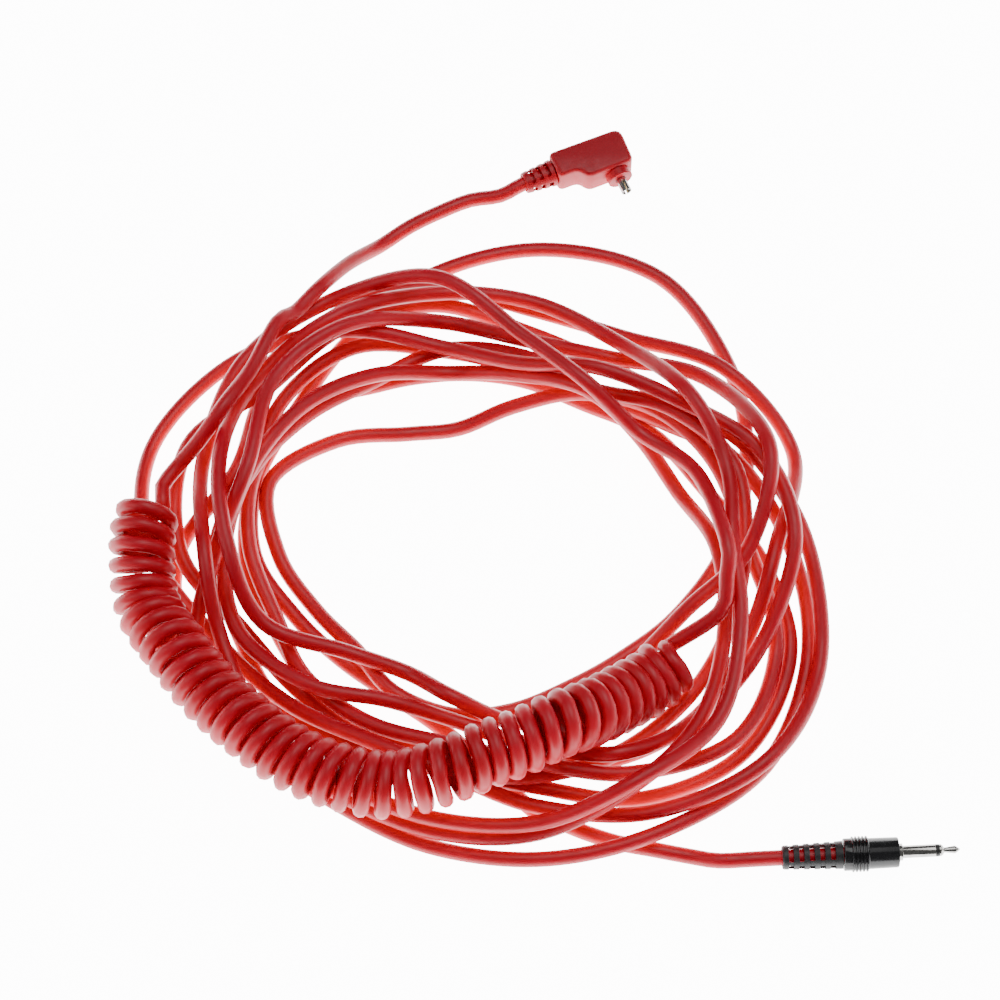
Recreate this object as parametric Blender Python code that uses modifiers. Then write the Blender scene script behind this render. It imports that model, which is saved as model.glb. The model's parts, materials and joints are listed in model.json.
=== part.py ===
"""Red flash-synchronisation cord: moulded right-angle PC plug, part curly cord, mono jack plug.

The cord lies in about twelve loose loops on a flat surface, with its curly length laid
round the left side of the heap. Both plugs lie flat on the surface too.
"""
import math

import bmesh
import bpy
from mathutils import Matrix, Vector

MM = 0.001

# The part's origin, in the millimetre frame that the cord's route is written in.
ORIGIN_X = 67.2
ORIGIN_Y = 1.6

# Cord
CORD_D = 4.5
CURL_D = 19.5
CORE_D = 1.2
PLUG_Z = 5.0

# Jack plug. Lengths run forwards from the back face of the boot along the plug's axis.
JACK_AT = (78.6, -112.3)
JACK_TURN = 2.9
BOOT_LEN = 16.8
BOOT_BACK_D = 6.75
BOOT_FRONT_D = 7.9
BOOT_BORE_D = 5.1
BOOT_WINDOWS = 5
COVER_BACK = 17.1
COVER_FRONT = 32.5
COVER_BORE_D = 7.2
COVER_RIBS = 5
RIB_D = 10.0
SLEEVE_D = 3.5
SLEEVE_END = 42.9
RING_LEN = 1.05
TIP_LEN = 5.8
ROD_D = 1.0

# PC plug. Lengths run forwards from the back face of the strain relief.
PC_AT = (7.3, 103.4)
PC_TURN = 23.5
RELIEF_LEN = 9.4
RELIEF_BACK_D = 6.6
RELIEF_FRONT_D = 8.35
RELIEF_WINDOWS = 3
WINDOW_SHARE = 0.5
HOUSING_BACK = 9.7
HOUSING_FRONT = 33.4
HOUSING_DEEP = 10.0
HEAD_X = 27.4
HEAD_SIDE = -8.0
NECK_HALF = 4.5
BOSS_D = 7.8
BOSS_OUT = 2.5
CONTACT_D = 3.1
CONTACT_OUT = 4.5
STEPS = 32

# The cord's route in millimetres: from the PC plug, the curly length, then the loops.
PC_LEAD = [
    (0, 100, 3.5), (-9, 99, 2.5), (-18, 95, 2.5), (-27, 90, 2.5), (-36, 83, 3), (-45, 73, 10.5),
    (-53, 61, 18), (-60, 52, 19.5), (-65, 46, 24), (-72, 30, 25.5), (-79, 17, 29), (-86, 8, 24.5),
    (-93, 1, 20), (-97, -5, 19.5),
]
COIL_AXIS = [
    (-101, -11, 20.5), (-102, -25, 20), (-100, -41, 16.5), (-91, -56, 20), (-81, -69, 20.5),
    (-69, -81, 23), (-57, -90, 23.5), (-44, -96, 25), (-30, -98, 24.5), (-16, -96, 28.5),
    (-4, -91, 29), (6, -87, 29), (16, -82, 29), (25, -77, 25), (34, -70, 19), (43, -63, 15),
    (50, -57, 16.5),
]
LOOPS = [
    (62, -45, 21.5), (64, -36, 26.5), (64, -26, 29.5), (56, -1, 22), (40, 13, 19), (25, 24, 29),
    (7, 40, 27), (-19, 59, 28), (-51, 58, 14), (-75, 34, 21.5), (-86, 7, 13), (-84, -26, 24),
    (-79, -50, 14), (-67, -74, 11.5), (-45, -92, 12), (-19, -103, 11.5), (11, -105, 13.5),
    (38, -96, 23), (61, -76, 17.5), (68, -48, 20.5), (66, -24, 24.5), (65, 0, 23.5), (54, 21, 29.5),
    (35, 45, 13), (10, 60, 10), (-19, 62, 12), (-47, 50, 21.5), (-71, 32, 15.5), (-80, 2, 27.5),
    (-77, -27, 28.5), (-67, -46, 16.5), (-43, -54, 14), (-26, -59, 10.5), (-13, -68, 14.5),
    (5, -72, 5), (23, -66, 2.5), (38, -54, 5), (53, -41, 14), (71, -24, 20), (77, 4, 29), (60, 34, 12),
    (33, 43, 7), (8, 45, 14.5), (-18, 52, 13), (-44, 45, 25), (-65, 27, 26.5), (-72, -3, 29.5),
    (-81, -25, 19), (-86, -50, 9), (-70, -75, 7), (-47, -93, 7.5), (-19, -105, 6.5), (11, -106, 8),
    (39, -94, 17), (57, -73, 14), (64, -45, 11), (62, -20, 12), (52, 1, 3), (40, 15, 13),
    (25, 25, 22.5), (5, 34, 14), (-15, 38, 7), (-37, 33, 15.5), (-57, 20, 21.5), (-72, -2, 24),
    (-79, -23, 14), (-74, -48, 14), (-54, -65, 17), (-32, -69, 15), (-13, -73, 9.5), (6, -79, 8),
    (33, -86, 17.5), (57, -71, 8), (75, -49, 11), (84, -22, 22.5), (75, 5, 23), (52, 21, 23),
    (28, 30, 26.5), (6, 35, 19.5), (-16, 43, 13.5), (-45, 47, 17), (-78, 42, 7), (-102, 16, 2.5),
    (-101, -19, 8), (-80, -48, 6), (-60, -68, 10), (-38, -81, 16), (-16, -90, 17.5), (8, -91, 12.5),
    (32, -83, 8.5), (52, -66, 5.5), (65, -44, 3.5), (70, -22, 16), (67, 3, 19.5), (49, 21, 18.5),
    (26, 28, 17), (7, 40, 14), (-16, 45, 8.5), (-37, 35, 8), (-56, 21, 13.5), (-72, 0, 19),
    (-82, -21, 9), (-74, -46, 2.5), (-62, -67, 4.5), (-40, -82, 10.5), (-17, -89, 12.5),
    (10, -98, 7.5), (43, -100, 8.5), (75, -86, 12.5), (91, -55, 6), (88, -21, 15.5), (73, 7, 17.5),
    (53, 29, 4.5), (31, 43, 2.5), (8, 54, 2.5), (-19, 62, 4.5), (-47, 52, 8.5), (-68, 31, 11.5),
    (-91, 12, 11), (-92, -21, 10), (-74, -44, 8.5), (-56, -64, 6.5), (-37, -78, 8), (-15, -80, 9),
    (7, -84, 5), (33, -82, 2.5), (56, -69, 2.5), (71, -46, 7.5), (79, -22, 16), (86, 14, 2.5),
    (66, 38, 10), (37, 52, 3), (10, 61, 3), (-20, 66, 8), (-49, 57, 7.5), (-69, 34, 4), (-76, 2, 16.5),
    (-93, -19, 3.5), (-90, -49, 2.5), (-73, -76, 2.5), (-48, -94, 2.5), (-20, -108, 2.5),
    (13, -113, 6), (46, -105, 7.5), (75, -84, 2.5), (88, -52, 2.5), (85, -19, 3), (69, 6, 13),
    (48, 22, 6.5), (27, 31, 7.5), (6, 39, 8.5), (-16, 47, 3.5), (-43, 46, 8), (-64, 29, 6.5),
    (-72, 1, 7.5), (-73, -22, 6.5), (-64, -43, 2.5), (-53, -61, 2.5), (-38, -77, 2.5), (-16, -86, 6),
    (9, -92, 7.5), (40, -94, 3), (69, -80, 2.5), (83, -50, 2.5), (76, -21, 2.5), (60, 2, 2.5),
    (45, 20, 2.5), (25, 30, 2.5), (6, 38, 2.5), (-15, 40, 2.5), (-37, 36, 2.5), (-58, 25, 10),
    (-71, 3, 12.5), (-72, -20, 12), (-64, -41, 8.5), (-55, -60, 10), (-37, -75, 13), (-15, -82, 14.5),
    (8, -88, 17), (37, -90, 12.5), (67, -78, 9), (79, -48, 5.5), (71, -19, 11), (62, 5, 15),
    (46, 23, 12.5), (24, 29, 12), (4, 27, 7), (-12, 22, 2.5), (-27, 20, 3), (-48, 18, 2.5),
    (-67, 3, 6), (-64, -19, 3), (-53, -36, 2.5), (-41, -50, 6), (-30, -64, 8.5), (-13, -70, 6),
    (4, -67, 2.5), (20, -60, 2.5), (35, -51, 2.5), (51, -38, 3), (65, -19, 7.5), (72, 9, 6.5),
    (68, 42, 2.5), (48, 72, 3), (13, 82, 2.5), (-21, 73, 2.5), (-45, 51, 2.5), (-60, 28, 2.5),
    (-71, 5, 2.5), (-71, -19, 2.5), (-59, -38, 2.5), (-45, -52, 2.5), (-30, -63, 2.5), (-14, -75, 2.5),
    (10, -98, 2.5), (17, -101, 2.5), (24, -104, 2.5), (33, -107, 2.5), (43, -109, 2.5),
    (53, -111, 2.5), (61, -113, 4.5),
]


for old in list(bpy.data.objects):
    bpy.data.objects.remove(old, do_unlink=True)

scene = bpy.context.scene
scene.unit_settings.system = "METRIC"
scene.unit_settings.length_unit = "MILLIMETERS"


def collection(name):
    made = bpy.data.collections.new(name)
    scene.collection.children.link(made)
    return made


parts = collection("sync_cord")
cutters = collection("cutters")


def material(name, colour, roughness, metallic=0.0):
    made = bpy.data.materials.new(name)
    made.use_nodes = True
    shader = made.node_tree.nodes["Principled BSDF"]
    shader.inputs["Base Color"].default_value = (*colour, 1.0)
    shader.inputs["Roughness"].default_value = roughness
    shader.inputs["Metallic"].default_value = metallic
    return made


red_pvc = material("red_pvc", (0.62, 0.02, 0.02), 0.38)
red_core = material("red_core", (0.7, 0.05, 0.04), 0.45)
white_core = material("white_core", (0.85, 0.84, 0.8), 0.45)
red_moulding = material("red_moulding", (0.6, 0.02, 0.02), 0.42)
black_cover = material("black_cover", (0.015, 0.015, 0.017), 0.25)
black_boot = material("black_boot", (0.02, 0.02, 0.022), 0.5)
black_plastic = material("black_plastic", (0.02, 0.02, 0.02), 0.4)
pale_plastic = material("pale_plastic", (0.8, 0.8, 0.76), 0.4)
nickel = material("nickel", (0.8, 0.79, 0.76), 0.2, 1.0)
brass = material("brass", (0.75, 0.58, 0.28), 0.3, 1.0)


def empty(name, at, turn):
    made = bpy.data.objects.new(name, None)
    made.location = ((at[0] - ORIGIN_X) * MM, (at[1] - ORIGIN_Y) * MM, PLUG_Z * MM)
    made.rotation_euler = (0, 0, math.radians(turn))
    made.empty_display_size = 5 * MM
    parts.objects.link(made)
    return made


jack_axis = empty("jack_axis", JACK_AT, JACK_TURN)
pc_axis = empty("pc_axis", PC_AT, PC_TURN)
ALONG = (0, math.radians(90), 0)
SIDEWAYS = (math.radians(90), 0, 0)


def place(made, paint, parent, at=(0, 0, 0), turn=(0, 0, 0)):
    parts.objects.link(made)
    made.data.materials.append(paint)
    made.parent = parent
    made.location = Vector(at) * MM
    made.rotation_euler = turn
    return made


def turned(name, profile, paint, parent, at=(0, 0, 0), turn=ALONG, closed=False, steps=STEPS):
    """A turned piece: profile is (diameter, distance along), either way round."""
    mesh = bpy.data.meshes.new(name)
    points = [(d * MM / 2, 0, s * MM) for d, s in profile]
    area = sum(a[0] * b[2] - b[0] * a[2] for a, b in zip(points, points[1:] + points[:1]))
    if area > 0:
        points.reverse()
    edges = [(i, i + 1) for i in range(len(points) - 1)]
    if closed:
        edges.append((len(points) - 1, 0))
    mesh.from_pydata(points, edges, [])
    made = bpy.data.objects.new(name, mesh)
    spin = made.modifiers.new("turn", "SCREW")
    spin.axis = "Z"
    spin.angle = math.tau
    spin.steps = steps
    spin.render_steps = steps
    spin.use_merge_vertices = True
    spin.merge_threshold = 0.000001
    spin.use_smooth_shade = True
    return place(made, paint, parent, at, turn)


def cylinder_mesh(name, diameter, low, high, sides=24):
    mesh = bpy.data.meshes.new(name)
    shape = bmesh.new()
    bmesh.ops.create_cone(shape, cap_ends=True, segments=sides, radius1=diameter * MM / 2,
                          radius2=diameter * MM / 2, depth=(high - low) * MM,
                          matrix=Matrix.Translation((0, 0, (high + low) * MM / 2)))
    shape.to_mesh(mesh)
    shape.free()
    return mesh


def box_mesh(name, size, middle):
    mesh = bpy.data.meshes.new(name)
    shape = bmesh.new()
    scale = Matrix.Diagonal((*[v * MM for v in size], 1.0))
    bmesh.ops.create_cube(shape, size=1.0, matrix=Matrix.Translation(Vector(middle) * MM) @ scale)
    shape.to_mesh(mesh)
    shape.free()
    return mesh


def box(name, size, middle, paint, parent):
    return place(bpy.data.objects.new(name, box_mesh(name, size, middle)), paint, parent)


def cut(piece, mesh, turn=(0, 0, 0), at=(0, 0, 0)):
    cutter = bpy.data.objects.new(mesh.name, mesh)
    cutters.objects.link(cutter)
    cutter.parent = piece.parent
    cutter.location = Vector(at) * MM
    cutter.rotation_euler = turn
    cutter.hide_render = True
    cutter.display_type = "WIRE"
    cutting = piece.modifiers.new("cut_" + mesh.name, "BOOLEAN")
    cutting.operation = "DIFFERENCE"
    cutting.solver = "EXACT"
    cutting.object = cutter


def tube(name, route, diameter, paint, parent=None):
    """A round tube along a route; with no parent the route is in the cord's own frame."""
    curve = bpy.data.curves.new(name, "CURVE")
    curve.dimensions = "3D"
    curve.bevel_depth = diameter * MM / 2
    curve.bevel_resolution = 2
    curve.use_fill_caps = True
    line = curve.splines.new("POLY")
    line.points.add(len(route) - 1)
    shift = Vector((0, 0, 0)) if parent else Vector((ORIGIN_X, ORIGIN_Y, 0))
    for point, place_mm in zip(line.points, route):
        point.co = (*((Vector(place_mm) - shift) * MM), 1.0)
    line.use_smooth = True
    return place(bpy.data.objects.new(name, curve), paint, parent)


def smooth_route(route, spacing, start=None, end=None):
    """Points at an even spacing on the smooth curve through a route."""
    route = [Vector(p) for p in route]
    before = start or route[0] * 2 - route[1]
    after = end or route[-1] * 2 - route[-2]
    ring = [before] + route + [after]
    fine = [route[0]]
    for a, b, c, d in zip(ring, ring[1:], ring[2:], ring[3:]):
        for i in range(1, 13):
            t = i / 12
            fine.append(0.5 * ((2 * b) + (c - a) * t + (2 * a - 5 * b + 4 * c - d) * t * t
                               + (3 * b - a - 3 * c + d) * t ** 3))
    along = [0.0]
    for a, b in zip(fine, fine[1:]):
        along.append(along[-1] + (b - a).length)
    count = max(2, round(along[-1] / spacing) + 1)
    even = []
    k = 0
    for i in range(count):
        target = along[-1] * i / (count - 1)
        while k < len(along) - 2 and along[k + 1] < target:
            k += 1
        share = (target - along[k]) / max(along[k + 1] - along[k], 1e-9)
        point = fine[k].lerp(fine[k + 1], min(max(share, 0.0), 1.0))
        point.z = max(point.z, CORD_D / 2 + 0.05)
        even.append(point)
    return even


def windows(piece, name, low, high, count):
    """Cuts rows of four windows: wide ones above and below, narrow ones at the sides."""
    pitch = (high - low) / count
    for row in range(count):
        middle = low + pitch * (row + 0.5)
        cut(piece, box_mesh(f"{name}_{row}_wide", (pitch * WINDOW_SHARE, 4.6, 20), (middle, 0, 0)))
        cut(piece, box_mesh(f"{name}_{row}_narrow", (pitch * WINDOW_SHARE, 20, 2.0), (middle, 0, 0)))


def ringed(back_d, front_d, bore_d, length, low, high, count):
    """A ringed sleeve's profile: full diameter at the rings, and a step down at each row."""
    pitch = (high - low) / count
    profile = [(bore_d, length), (bore_d, 0), (back_d - 0.5, 0), (back_d, 0.4)]
    for row in range(count):
        middle = low + pitch * (row + 0.5)
        for at, drop in ((-0.5, 0), (-0.42, 0.5), (0.42, 0.5), (0.5, 0)):
            along = middle + at * pitch * WINDOW_SHARE
            profile.append((back_d + (front_d - back_d) * along / length - drop, along))
    return profile + [(front_d, length)]


# Cord outside the plugs

def on_plug(at, turn, along, height=PLUG_Z):
    angle = math.radians(turn)
    return (at[0] + along * math.cos(angle), at[1] + along * math.sin(angle), height)


GAP = 0.3
JOIN_GAP = 2.0
TUBE_GAP = 1.6
JOIN = 12.0

coil_start = Vector(COIL_AXIS[0]) + (Vector(COIL_AXIS[0]) - Vector(COIL_AXIS[1])).normalized() * JOIN_GAP
coil_end = Vector(COIL_AXIS[-1]) + (Vector(COIL_AXIS[-1]) - Vector(COIL_AXIS[-2])).normalized() * JOIN_GAP
lead = [on_plug(PC_AT, PC_TURN, -GAP)] + PC_LEAD + [coil_start]
tube("cord_pc_lead", smooth_route(lead, JOIN), CORD_D, red_pvc)
tube("cord_curly", smooth_route(COIL_AXIS, 7.0), CURL_D, red_pvc)
loops = smooth_route([coil_end] + LOOPS + [on_plug(JACK_AT, JACK_TURN, -8.0)], JOIN,
                     end=Vector(on_plug(JACK_AT, JACK_TURN, 2.0)))
PER_TUBE = 76
first = 0
number = 1
while first < len(loops) - 1:
    last = min(first + PER_TUBE, len(loops) - 1)
    if len(loops) - 1 - last < 20:
        last = len(loops) - 1
    run = [p.copy() for p in loops[first:last + 1]]
    if last < len(loops) - 1:
        run[-1] -= (run[-1] - run[-2]).normalized() * TUBE_GAP
    tube(f"cord_loops_{number:02d}", run, CORD_D, red_pvc)
    first = last
    number += 1

# Straight ends of the cord, inside and just behind the plugs
tube("cord_jack_end", [(-8.0 + GAP, 0, 0), (6.0, 0, 0), (21.5, 0, 0)], CORD_D, red_pvc, jack_axis)
tube("cord_pc_end", [(GAP, 0, 0), (7.0, 0, 0), (14.0, 0, 0)], CORD_D, red_pvc, pc_axis)

# Jack plug

boot_rows = (0.9, BOOT_LEN - 1.3, BOOT_WINDOWS)
boot = turned("jack_boot", ringed(BOOT_BACK_D, BOOT_FRONT_D, BOOT_BORE_D, BOOT_LEN, *boot_rows),
              black_boot, jack_axis, closed=True)
windows(boot, "boot_window", *boot_rows)

COLLAR = 2.1
rib_pitch = 4.9 / COVER_RIBS
cover_profile = [(COVER_BORE_D, COVER_FRONT), (COVER_BORE_D, COVER_BACK + 1.4), (5.4, COVER_BACK + 1.4),
                 (5.4, COVER_BACK), (8.7, COVER_BACK), (9.1, COVER_BACK + 0.2),
                 (9.1, COVER_BACK + COLLAR)]
for rib in range(COVER_RIBS):
    base = COVER_BACK + COLLAR + rib * rib_pitch
    cover_profile += [(9.1, base + 0.15), (RIB_D, base + 0.3), (RIB_D, base + 0.65), (9.1, base + 0.8)]
cover_profile += [(8.7, COVER_BACK + 7.1), (8.5, COVER_FRONT - 0.3), (8.1, COVER_FRONT)]
turned("jack_cover", cover_profile, black_cover, jack_axis, closed=True, steps=40)

turned("jack_liner", [(6.9, 26.0), (6.3, 26.0), (6.3, 18.8), (6.9, 18.8)], pale_plastic, jack_axis,
       closed=True)
turned("jack_sleeve", [(SLEEVE_D, SLEEVE_END - 0.05), (2.1, SLEEVE_END - 0.05), (2.1, 27.6),
                       (7.0, 27.6), (7.0, COVER_FRONT - 0.1), (4.8, COVER_FRONT + 0.1),
                       (4.8, COVER_FRONT + 1.1), (SLEEVE_D, COVER_FRONT + 1.2)],
       nickel, jack_axis, closed=True)
ring_end = SLEEVE_END + RING_LEN
turned("jack_insulator", [(SLEEVE_D, ring_end - 0.1), (1.2, ring_end - 0.1), (1.2, 27.6), (1.9, 27.6),
                          (1.9, SLEEVE_END), (SLEEVE_D, SLEEVE_END)],
       black_plastic, jack_axis, closed=True)
turned("jack_rear_bush", [(5.8, 27.5), (1.2, 27.5), (1.2, 26.4), (5.8, 26.4)], black_plastic, jack_axis,
       closed=True)
turned("jack_tip", [(0, ring_end + TIP_LEN), (0.5, ring_end + TIP_LEN - 0.1), (2.1, 48.5), (2.2, 48.2),
                    (1.5, 45.7), (1.5, 45.3), (2.7, 44.9), (3.4, 44.4), (3.4, ring_end),
                    (ROD_D, ring_end), (ROD_D, 25.4), (0, 25.4)], nickel, jack_axis)
box("jack_tip_lug", (3.2, 1.8, 0.4), (24.2, 0, 1.0), brass, jack_axis)
earth = box("jack_earth_tag", (6.0, 2.4, 0.4), (23.3, 0, -2.5), brass, jack_axis)
tube("core_jack_tip", [(21.8, 0.4, 1.9), (23.0, 0.4, 1.9), (24.6, 0.2, 1.9)], CORE_D, white_core,
     jack_axis)
tube("core_jack_earth", [(21.8, -0.4, -1.4), (23.0, -0.4, -1.6), (24.8, -0.2, -1.6)], CORE_D, red_core,
     jack_axis)

# PC plug

relief_rows = (1.2, RELIEF_LEN - 0.6, RELIEF_WINDOWS)
relief = turned("pc_strain_relief",
                ringed(RELIEF_BACK_D, RELIEF_FRONT_D, 5.1, RELIEF_LEN, *relief_rows),
                red_moulding, pc_axis, closed=True)
windows(relief, "relief_window", *relief_rows)


def housing_outline(inset):
    """The housing's side view, as (along, across), with every side moved in by inset."""
    corners = [(HOUSING_BACK, NECK_HALF, 1.9), (HOUSING_FRONT, NECK_HALF - 0.4, 3.2),
               (HOUSING_FRONT - 0.6, HEAD_SIDE, 2.2), (HOUSING_FRONT - 15.6, HEAD_SIDE, 2.0),
               (HOUSING_FRONT - 17.6, -NECK_HALF, 1.6), (HOUSING_BACK, -NECK_HALF, 1.9)]
    points = []
    for i, (x, y, radius) in enumerate(corners):
        here = Vector((x, y))
        back = (Vector(corners[i - 1][:2]) - here).normalized()
        ahead = (Vector(corners[(i + 1) % len(corners)][:2]) - here).normalized()
        turn = back.x * ahead.y - back.y * ahead.x
        outward = turn < 0
        here = here + (back + ahead) * (inset / turn)
        radius += inset if outward else -inset
        for k in range(6):
            t = k / 5
            start = here + back * radius
            end = here + ahead * radius
            points.append((1 - t) ** 2 * start + 2 * t * (1 - t) * here + t * t * end)
    return points


EDGE_R = 1.4
levels = []
for k in range(5):
    angle = math.pi / 2 * k / 4
    levels.append((EDGE_R * (1 - math.sin(angle)), -HOUSING_DEEP / 2 + EDGE_R * (1 - math.cos(angle))))
levels += [(inset, -z) for inset, z in reversed(levels)]
mesh = bpy.data.meshes.new("pc_housing")
shape = bmesh.new()
rings = [[shape.verts.new((p.x * MM, p.y * MM, z * MM)) for p in housing_outline(inset)]
         for inset, z in levels]
for low, high in zip(rings, rings[1:]):
    for i in range(len(low)):
        j = (i + 1) % len(low)
        shape.faces.new((low[i], low[j], high[j], high[i]))
shape.faces.new(rings[0])
shape.faces.new(rings[-1])
bmesh.ops.recalc_face_normals(shape, faces=shape.faces)
for side in shape.faces:
    side.smooth = True
shape.to_mesh(mesh)
shape.free()
housing = place(bpy.data.objects.new("pc_housing", mesh), red_moulding, pc_axis)
cut(housing, cylinder_mesh("housing_cord_bore", 5.1, HOUSING_BACK - 2, HEAD_X, 32), turn=ALONG)
cut(housing, cylinder_mesh("housing_carrier_bore", 6.8, -1.0, 12.0, 32), turn=SIDEWAYS,
    at=(HEAD_X, 0, 0))

face = -HEAD_SIDE
turned("pc_contact_carrier", [(BOSS_D - 0.4, face + BOSS_OUT), (3.3, face + BOSS_OUT), (3.3, 4.0),
                              (6.5, 4.0), (6.5, face + 0.1), (BOSS_D, face + 0.1),
                              (BOSS_D, face + BOSS_OUT - 0.2)],
       red_moulding, pc_axis, at=(HEAD_X, 0, 0), turn=SIDEWAYS, closed=True)
contact_end = face + BOSS_OUT + CONTACT_OUT
contact = turned("pc_outer_contact", [(CONTACT_D, contact_end), (2.5, contact_end), (2.5, 3.2),
                                      (5.0, 3.2), (5.0, 3.8), (CONTACT_D, 3.8)],
                 nickel, pc_axis, at=(HEAD_X, 0, 0), turn=SIDEWAYS, closed=True)
for side in (0, 90):
    slit = box_mesh(f"contact_slit_{side}", (0.4, 6.0, 3.6), (0, 0, contact_end - 1.7))
    made = Matrix.Rotation(math.radians(side), 4, "Z")
    slit.transform(made)
    cut(contact, slit, turn=SIDEWAYS, at=(HEAD_X, 0, 0))
turned("pc_insulator", [(2.4, contact_end - 4.4), (1.1, contact_end - 4.4), (1.1, 3.2), (2.4, 3.2)],
       pale_plastic, pc_axis, at=(HEAD_X, 0, 0), turn=SIDEWAYS, closed=True)
turned("pc_centre_pin", [(0, contact_end - 0.6), (0.6, contact_end - 0.8), (1.0, contact_end - 1.2),
                         (1.0, 2.6), (0, 2.6)],
       brass, pc_axis, at=(HEAD_X, 0, 0), turn=SIDEWAYS)
tube("core_pc_centre", [(14.3, 0.6, 0.9), (20.0, 0.6, 0.9), (25.4, 0.3, 0.4), (27.4, -1.0, 0.0)], CORE_D,
     white_core, pc_axis)
tube("core_pc_outer", [(14.3, -0.6, -0.9), (20.0, -0.6, -1.2), (25.0, -1.2, -1.5), (26.6, -2.3, -1.6)],
     CORE_D, red_core, pc_axis)
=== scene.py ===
"""Looks for the red flash-synchronisation cord: one cord with its curly length, and both plugs."""
import json
import math

import bmesh
import bpy
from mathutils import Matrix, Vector

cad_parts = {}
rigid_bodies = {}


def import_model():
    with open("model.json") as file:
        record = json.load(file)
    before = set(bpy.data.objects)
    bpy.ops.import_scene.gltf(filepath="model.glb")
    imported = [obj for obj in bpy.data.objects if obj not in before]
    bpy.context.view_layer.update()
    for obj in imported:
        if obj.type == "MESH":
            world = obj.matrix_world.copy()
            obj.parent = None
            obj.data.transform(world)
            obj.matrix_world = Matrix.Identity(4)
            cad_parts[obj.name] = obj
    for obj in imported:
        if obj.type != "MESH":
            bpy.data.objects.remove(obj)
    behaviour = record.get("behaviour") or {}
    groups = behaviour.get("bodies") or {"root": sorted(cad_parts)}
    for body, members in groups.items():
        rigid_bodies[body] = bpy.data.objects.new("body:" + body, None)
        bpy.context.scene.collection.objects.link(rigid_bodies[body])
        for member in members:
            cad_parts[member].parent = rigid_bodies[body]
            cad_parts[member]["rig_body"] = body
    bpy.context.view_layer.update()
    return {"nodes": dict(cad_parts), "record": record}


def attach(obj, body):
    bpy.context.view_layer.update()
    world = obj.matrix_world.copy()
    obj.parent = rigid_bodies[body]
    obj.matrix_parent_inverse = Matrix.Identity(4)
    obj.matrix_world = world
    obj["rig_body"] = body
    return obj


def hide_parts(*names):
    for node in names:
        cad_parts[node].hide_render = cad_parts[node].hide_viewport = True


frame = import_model()

MM = 0.001
BODY = "cord_and_plugs"

# The part's origin, in the millimetre frame that the cord's route is written in.
ORIGIN = Vector((67.2, 1.6, 0))
CORD_D = 4.5
CURL_R = 7.5
CURL_TURNS = 42
POINTS_PER_TURN = 16
PLUG_Z = 5.0
JACK_AT = (78.6, -112.3)
JACK_TURN = 2.9
PC_AT = (7.3, 103.4)
PC_TURN = 23.5

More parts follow.
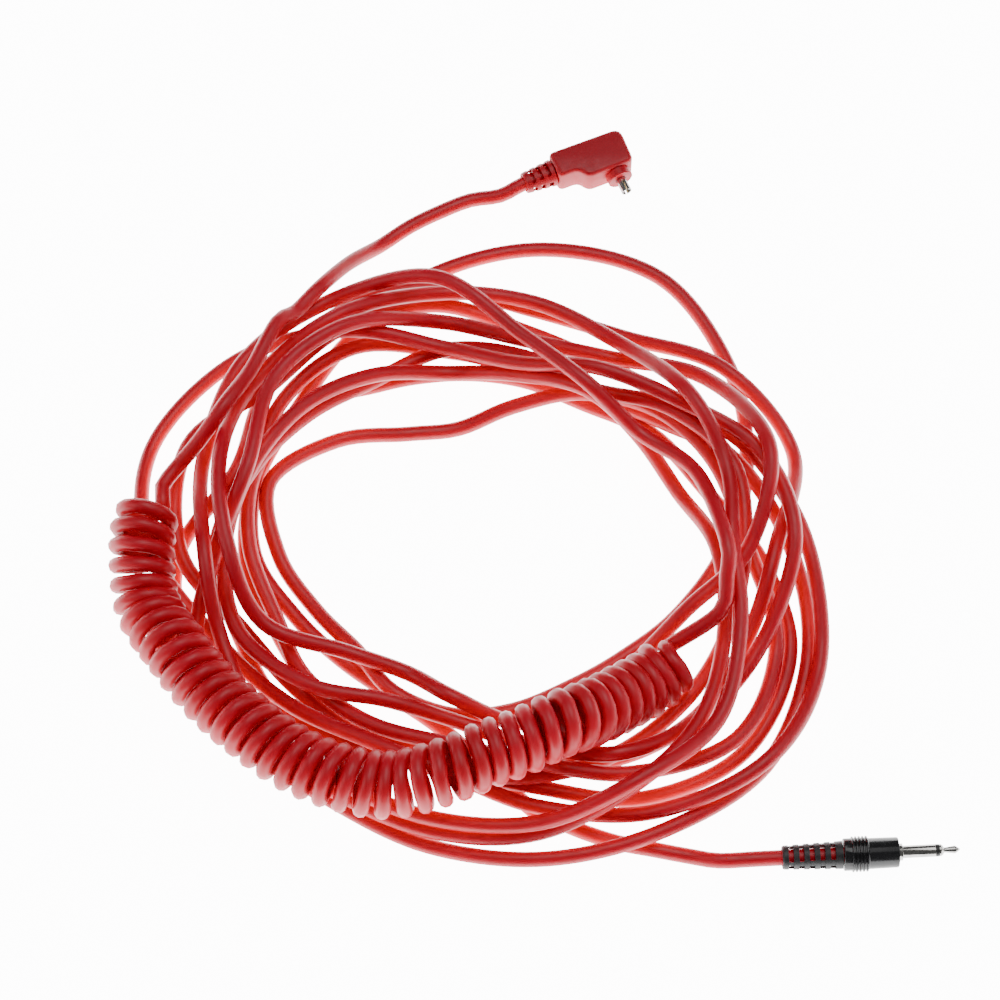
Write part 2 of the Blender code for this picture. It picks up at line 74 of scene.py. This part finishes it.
# The cord's route: from the PC plug, the curly length's axis, then the loops.
PC_LEAD = [
    (0, 100, 3.5), (-9, 99, 2.5), (-18, 95, 2.5), (-27, 90, 2.5), (-36, 83, 3), (-45, 73, 10.5),
    (-53, 61, 18), (-60, 52, 19.5), (-65, 46, 24), (-72, 30, 25.5), (-79, 17, 29), (-86, 8, 24.5),
    (-93, 1, 20), (-97, -5, 19.5),
]
COIL_AXIS = [
    (-101, -11, 20.5), (-102, -25, 20), (-100, -41, 16.5), (-91, -56, 20), (-81, -69, 20.5),
    (-69, -81, 23), (-57, -90, 23.5), (-44, -96, 25), (-30, -98, 24.5), (-16, -96, 28.5),
    (-4, -91, 29), (6, -87, 29), (16, -82, 29), (25, -77, 25), (34, -70, 19), (43, -63, 15),
    (50, -57, 16.5),
]
LOOPS = [
    (62, -45, 21.5), (64, -36, 26.5), (64, -26, 29.5), (56, -1, 22), (40, 13, 19), (25, 24, 29),
    (7, 40, 27), (-19, 59, 28), (-51, 58, 14), (-75, 34, 21.5), (-86, 7, 13), (-84, -26, 24),
    (-79, -50, 14), (-67, -74, 11.5), (-45, -92, 12), (-19, -103, 11.5), (11, -105, 13.5),
    (38, -96, 23), (61, -76, 17.5), (68, -48, 20.5), (66, -24, 24.5), (65, 0, 23.5), (54, 21, 29.5),
    (35, 45, 13), (10, 60, 10), (-19, 62, 12), (-47, 50, 21.5), (-71, 32, 15.5), (-80, 2, 27.5),
    (-77, -27, 28.5), (-67, -46, 16.5), (-43, -54, 14), (-26, -59, 10.5), (-13, -68, 14.5),
    (5, -72, 5), (23, -66, 2.5), (38, -54, 5), (53, -41, 14), (71, -24, 20), (77, 4, 29), (60, 34, 12),
    (33, 43, 7), (8, 45, 14.5), (-18, 52, 13), (-44, 45, 25), (-65, 27, 26.5), (-72, -3, 29.5),
    (-81, -25, 19), (-86, -50, 9), (-70, -75, 7), (-47, -93, 7.5), (-19, -105, 6.5), (11, -106, 8),
    (39, -94, 17), (57, -73, 14), (64, -45, 11), (62, -20, 12), (52, 1, 3), (40, 15, 13),
    (25, 25, 22.5), (5, 34, 14), (-15, 38, 7), (-37, 33, 15.5), (-57, 20, 21.5), (-72, -2, 24),
    (-79, -23, 14), (-74, -48, 14), (-54, -65, 17), (-32, -69, 15), (-13, -73, 9.5), (6, -79, 8),
    (33, -86, 17.5), (57, -71, 8), (75, -49, 11), (84, -22, 22.5), (75, 5, 23), (52, 21, 23),
    (28, 30, 26.5), (6, 35, 19.5), (-16, 43, 13.5), (-45, 47, 17), (-78, 42, 7), (-102, 16, 2.5),
    (-101, -19, 8), (-80, -48, 6), (-60, -68, 10), (-38, -81, 16), (-16, -90, 17.5), (8, -91, 12.5),
    (32, -83, 8.5), (52, -66, 5.5), (65, -44, 3.5), (70, -22, 16), (67, 3, 19.5), (49, 21, 18.5),
    (26, 28, 17), (7, 40, 14), (-16, 45, 8.5), (-37, 35, 8), (-56, 21, 13.5), (-72, 0, 19),
    (-82, -21, 9), (-74, -46, 2.5), (-62, -67, 4.5), (-40, -82, 10.5), (-17, -89, 12.5),
    (10, -98, 7.5), (43, -100, 8.5), (75, -86, 12.5), (91, -55, 6), (88, -21, 15.5), (73, 7, 17.5),
    (53, 29, 4.5), (31, 43, 2.5), (8, 54, 2.5), (-19, 62, 4.5), (-47, 52, 8.5), (-68, 31, 11.5),
    (-91, 12, 11), (-92, -21, 10), (-74, -44, 8.5), (-56, -64, 6.5), (-37, -78, 8), (-15, -80, 9),
    (7, -84, 5), (33, -82, 2.5), (56, -69, 2.5), (71, -46, 7.5), (79, -22, 16), (86, 14, 2.5),
    (66, 38, 10), (37, 52, 3), (10, 61, 3), (-20, 66, 8), (-49, 57, 7.5), (-69, 34, 4), (-76, 2, 16.5),
    (-93, -19, 3.5), (-90, -49, 2.5), (-73, -76, 2.5), (-48, -94, 2.5), (-20, -108, 2.5),
    (13, -113, 6), (46, -105, 7.5), (75, -84, 2.5), (88, -52, 2.5), (85, -19, 3), (69, 6, 13),
    (48, 22, 6.5), (27, 31, 7.5), (6, 39, 8.5), (-16, 47, 3.5), (-43, 46, 8), (-64, 29, 6.5),
    (-72, 1, 7.5), (-73, -22, 6.5), (-64, -43, 2.5), (-53, -61, 2.5), (-38, -77, 2.5), (-16, -86, 6),
    (9, -92, 7.5), (40, -94, 3), (69, -80, 2.5), (83, -50, 2.5), (76, -21, 2.5), (60, 2, 2.5),
    (45, 20, 2.5), (25, 30, 2.5), (6, 38, 2.5), (-15, 40, 2.5), (-37, 36, 2.5), (-58, 25, 10),
    (-71, 3, 12.5), (-72, -20, 12), (-64, -41, 8.5), (-55, -60, 10), (-37, -75, 13), (-15, -82, 14.5),
    (8, -88, 17), (37, -90, 12.5), (67, -78, 9), (79, -48, 5.5), (71, -19, 11), (62, 5, 15),
    (46, 23, 12.5), (24, 29, 12), (4, 27, 7), (-12, 22, 2.5), (-27, 20, 3), (-48, 18, 2.5),
    (-67, 3, 6), (-64, -19, 3), (-53, -36, 2.5), (-41, -50, 6), (-30, -64, 8.5), (-13, -70, 6),
    (4, -67, 2.5), (20, -60, 2.5), (35, -51, 2.5), (51, -38, 3), (65, -19, 7.5), (72, 9, 6.5),
    (68, 42, 2.5), (48, 72, 3), (13, 82, 2.5), (-21, 73, 2.5), (-45, 51, 2.5), (-60, 28, 2.5),
    (-71, 5, 2.5), (-71, -19, 2.5), (-59, -38, 2.5), (-45, -52, 2.5), (-30, -63, 2.5), (-14, -75, 2.5),
    (10, -98, 2.5), (17, -101, 2.5), (24, -104, 2.5), (33, -107, 2.5), (43, -109, 2.5),
    (53, -111, 2.5), (61, -113, 4.5),
]


# Camera: level with the picture's sides, 65 degrees above the surface
VIEW_LENS = 135.8
VIEW_FAR = 1.103
VIEW_UP = math.radians(65)
target = -ORIGIN * MM
camera = bpy.data.objects.new("camera", bpy.data.cameras.new("camera"))
camera.data.lens = VIEW_LENS
camera.data.sensor_width = 36
camera.location = target + Vector((0, -VIEW_FAR * math.cos(VIEW_UP), VIEW_FAR * math.sin(VIEW_UP)))
camera.rotation_euler = (math.pi / 2 - VIEW_UP, 0, 0)
bpy.context.scene.collection.objects.link(camera)
bpy.context.scene.camera = camera


def smooth(route, step, before=None, after=None):
    """Points about one step apart on the smooth curve through a route."""
    route = [Vector(p) for p in route]
    ring = [before or route[0] * 2 - route[1]] + route + [after or route[-1] * 2 - route[-2]]
    out = [route[0]]
    for a, b, c, d in zip(ring, ring[1:], ring[2:], ring[3:]):
        count = max(2, round((c - b).length / step))
        for i in range(1, count + 1):
            t = i / count
            out.append(0.5 * ((2 * b) + (c - a) * t + (2 * a - 5 * b + 4 * c - d) * t * t
                              + (3 * b - a - 3 * c + d) * t ** 3))
    return out


def on_plug(at, turn, along):
    angle = math.radians(turn)
    return Vector((at[0] + along * math.cos(angle), at[1] + along * math.sin(angle), PLUG_Z))


def lengths(points):
    out = [0.0]
    for a, b in zip(points, points[1:]):
        out.append(out[-1] + (b - a).length)
    return out


def helix(axis):
    """The curly length: turns round its axis, a little narrower at each end."""
    along = lengths(axis)
    total = along[-1]
    count = CURL_TURNS * POINTS_PER_TURN
    out = []
    k = 0
    up = Vector((0, 0, 1))
    for i in range(count + 1):
        share = i / count
        here = share * total
        while k < len(along) - 2 and along[k + 1] < here:
            k += 1
        middle = axis[k].lerp(axis[k + 1], (here - along[k]) / (along[k + 1] - along[k]))
        ahead = (axis[min(k + 4, len(axis) - 1)] - axis[max(k - 3, 0)]).normalized()
        across = ahead.cross(up).normalized()
        over = across.cross(ahead)
        ease = min(1.0, share * CURL_TURNS / 0.8, (1 - share) * CURL_TURNS / 0.8)
        radius = CURL_R * (0.6 + 0.4 * ease * ease * (3 - 2 * ease))
        angle = math.pi + math.tau * CURL_TURNS * share + 0.35 * math.sin(9 * share)
        out.append(middle + radius * (math.cos(angle) * across + math.sin(angle) * over))
    return out


coil_axis = smooth(COIL_AXIS, 2.0)
curl = helix(coil_axis)
lead = smooth([on_plug(PC_AT, PC_TURN, -0.3)] + PC_LEAD + [curl[0]], 3.0,
              before=on_plug(PC_AT, PC_TURN, 9.0), after=curl[4])
jack_end = on_plug(JACK_AT, JACK_TURN, -8.0)
loops = smooth([curl[-1]] + LOOPS + [jack_end], 3.0, before=curl[-5],
               after=on_plug(JACK_AT, JACK_TURN, 2.0))
for point in lead + loops:
    point.z = max(point.z, CORD_D / 2 + 0.05)
route = ([on_plug(PC_AT, PC_TURN, 14.0), on_plug(PC_AT, PC_TURN, 7.0)] + lead[:-1] + curl
         + loops[1:] + [on_plug(JACK_AT, JACK_TURN, a) for a in (-4.0, 6.0, 21.5)])
route = [(point - ORIGIN) * MM for point in route]


# Materials

def painted(name, colour, roughness, metallic=0.0):
    made = bpy.data.materials.new(name)
    made.use_nodes = True
    tree = made.node_tree
    shader = tree.nodes["Principled BSDF"]
    shader.inputs["Base Color"].default_value = (*colour, 1)
    shader.inputs["Roughness"].default_value = roughness
    shader.inputs["Metallic"].default_value = metallic
    return made, tree, shader


def noise(tree, scale, detail=4.0, stretch=(1, 1, 1)):
    place = tree.nodes.new("ShaderNodeTexCoord")
    fit = tree.nodes.new("ShaderNodeMapping")
    fit.inputs["Scale"].default_value = stretch
    grain = tree.nodes.new("ShaderNodeTexNoise")
    grain.inputs["Scale"].default_value = scale
    grain.inputs["Detail"].default_value = detail
    tree.links.new(place.outputs["Object"], fit.inputs["Vector"])
    tree.links.new(fit.outputs["Vector"], grain.inputs["Vector"])
    return grain.outputs["Fac"]


def spread(tree, value, low, high, socket):
    fit = tree.nodes.new("ShaderNodeMapRange")
    fit.inputs["From Min"].default_value = 0.3
    fit.inputs["From Max"].default_value = 0.7
    fit.inputs["To Min"].default_value = low
    fit.inputs["To Max"].default_value = high
    tree.links.new(value, fit.inputs["Value"])
    tree.links.new(fit.outputs["Result"], socket)


def tint(tree, value, dark, light, socket):
    ramp = tree.nodes.new("ShaderNodeValToRGB")
    ramp.color_ramp.elements[0].position = 0.3
    ramp.color_ramp.elements[0].color = (*dark, 1)
    ramp.color_ramp.elements[1].position = 0.7
    ramp.color_ramp.elements[1].color = (*light, 1)
    tree.links.new(value, ramp.inputs["Fac"])
    tree.links.new(ramp.outputs["Color"], socket)


def bump(tree, shader, value, depth, strength=0.3):
    raised = tree.nodes.new("ShaderNodeBump")
    raised.inputs["Strength"].default_value = strength
    raised.inputs["Distance"].default_value = depth
    tree.links.new(value, raised.inputs["Height"])
    tree.links.new(raised.outputs["Normal"], shader.inputs["Normal"])


def pvc(name, dark, light, roughness, glow=0.12, grain=2600, depth=0.00006):
    """Soft plastic: patchy colour, uneven sheen, fine surface grain and a little light inside."""
    made, tree, shader = painted(name, light, roughness)
    tint(tree, noise(tree, 60, 3), dark, light, shader.inputs["Base Color"])
    spread(tree, noise(tree, 350, 5), roughness - 0.06, roughness + 0.08, shader.inputs["Roughness"])
    bump(tree, shader, noise(tree, grain, 6), depth)
    shader.inputs["Subsurface Weight"].default_value = glow
    shader.inputs["Subsurface Radius"].default_value = (1.0, 0.25, 0.2)
    shader.inputs["Subsurface Scale"].default_value = 0.0015
    shader.inputs["Specular IOR Level"].default_value = 0.5
    return made


def metal(name, dark, light, roughness):
    """Plated metal with fine turning marks and slight tarnish."""
    made, tree, shader = painted(name, light, roughness, 1.0)
    tint(tree, noise(tree, 500, 4), dark, light, shader.inputs["Base Color"])
    spread(tree, noise(tree, 900, 5, (8, 1, 1)), roughness - 0.05, roughness + 0.1,
           shader.inputs["Roughness"])
    bump(tree, shader, noise(tree, 2500, 3, (10, 1, 1)), 0.00002, 0.15)
    return made


looks = {
    "red_pvc": pvc("look_red_pvc", (0.60, 0.0, 0.012), (0.70, 0.0, 0.02), 0.40),
    "red_moulding": pvc("look_red_moulding", (0.46, 0.0, 0.010), (0.56, 0.0, 0.014), 0.44,
                        0.10, 1800, 0.0001),
    "white_core": pvc("look_white_core", (0.78, 0.77, 0.72), (0.88, 0.87, 0.83), 0.45),
    "black_cover": pvc("look_black_cover", (0.010, 0.010, 0.011), (0.016, 0.016, 0.018), 0.20,
                       0.0, 1500, 0.00003),
    "black_boot": pvc("look_black_boot", (0.014, 0.014, 0.015), (0.024, 0.024, 0.026), 0.48,
                      0.0, 2400, 0.00008),
    "black_plastic": pvc("look_black_plastic", (0.012, 0.012, 0.012), (0.025, 0.025, 0.025), 0.4, 0.0),
    "pale_plastic": pvc("look_pale_plastic", (0.72, 0.71, 0.66), (0.84, 0.83, 0.79), 0.38),
    "nickel": metal("look_nickel", (0.40, 0.39, 0.37), (0.56, 0.55, 0.53), 0.18),
    "brass": metal("look_brass", (0.62, 0.45, 0.20), (0.80, 0.62, 0.32), 0.25),
}
slots = {part["node"]: part["material_slot"] for part in frame["record"]["subparts"]}
for node, made in frame["nodes"].items():
    made.data.materials.clear()
    made.data.materials.append(looks[slots[node]])


# The plugs' pieces: the CAD's own shape with its facets shaded smooth and its edges softened

def softened(node, edge=0.05):
    source = frame["nodes"][node]
    copy = bpy.data.objects.new("look_" + node, source.data.copy())
    bpy.context.scene.collection.objects.link(copy)
    shape = bmesh.new()
    shape.from_mesh(copy.data)
    bmesh.ops.remove_doubles(shape, verts=shape.verts, dist=0.000002)
    bmesh.ops.dissolve_limit(shape, angle_limit=math.radians(1), verts=shape.verts, edges=shape.edges)
    for side in shape.faces:
        side.smooth = True
    shape.to_mesh(copy.data)
    shape.free()
    copy.data.set_sharp_from_angle(angle=math.radians(32))
    rounding = copy.modifiers.new("soft_edges", "BEVEL")
    rounding.width = edge * MM
    rounding.segments = 2
    rounding.limit_method = "ANGLE"
    rounding.angle_limit = math.radians(40)
    rounding.harden_normals = True
    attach(copy, source["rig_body"])
    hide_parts(node)
    return copy


softened_nodes = {node: softened(node) for node in frame["nodes"] if not node.startswith("cord_")}


# The cord

curve = bpy.data.curves.new("sync_cord", "CURVE")
curve.dimensions = "3D"
curve.bevel_depth = CORD_D * MM / 2
curve.bevel_resolution = 3
curve.use_fill_caps = True
line = curve.splines.new("POLY")
line.points.add(len(route) - 1)
for point, at in zip(line.points, route):
    point.co = (*at, 1)
line.use_smooth = True
curve.materials.append(looks["red_pvc"])
cord = bpy.data.objects.new("sync_cord", curve)
bpy.context.scene.collection.objects.link(cord)
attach(cord, BODY)
cord_nodes = [node for node in frame["nodes"] if node.startswith("cord_")]
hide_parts(*cord_nodes)
total = lengths(route)[-1]
print("cord length", round(total, 3))


# Surface and light

floor_mesh = bpy.data.meshes.new("surface")
side = 3.0
floor_mesh.from_pydata([(-side, -side, 0), (side, -side, 0), (side, side, 0), (-side, side, 0)], [],
                       [(0, 1, 2, 3)])
floor = bpy.data.objects.new("surface", floor_mesh)
floor.location.z = -0.0001
paper, paper_tree, paper_shader = painted("white_surface", (0.9, 0.9, 0.9), 0.9)
paper_shader.inputs["Emission Color"].default_value = (1, 1, 1, 1)
seen = paper_tree.nodes.new("ShaderNodeLightPath")
brightness = paper_tree.nodes.new("ShaderNodeMapRange")
brightness.inputs["To Min"].default_value = 4.5
brightness.inputs["To Max"].default_value = 13.0
paper_tree.links.new(seen.outputs["Is Camera Ray"], brightness.inputs["Value"])
paper_tree.links.new(brightness.outputs["Result"], paper_shader.inputs["Emission Strength"])
floor_mesh.materials.append(paper)
bpy.context.scene.collection.objects.link(floor)


def soft_light(name, at, size, power):
    lamp = bpy.data.lights.new(name, "AREA")
    lamp.shape = "SQUARE"
    lamp.size = size
    lamp.energy = power
    made = bpy.data.objects.new(name, lamp)
    made.location = at
    made.rotation_euler = (target - Vector(at)).to_track_quat("-Z", "Y").to_euler()
    bpy.context.scene.collection.objects.link(made)


soft_light("light_above", (0.1, 0.25, 1.3), 0.9, 7)
soft_light("light_left", (-1.1, -0.2, 0.8), 0.7, 2.5)
soft_light("light_right", (1.0, 0.1, 0.7), 0.6, 1.5)
world = bpy.data.worlds.new("studio")
world.use_nodes = True
world.node_tree.nodes["Background"].inputs["Color"].default_value = (1, 1, 1, 1)
world.node_tree.nodes["Background"].inputs["Strength"].default_value = 0.12
bpy.context.scene.world = world
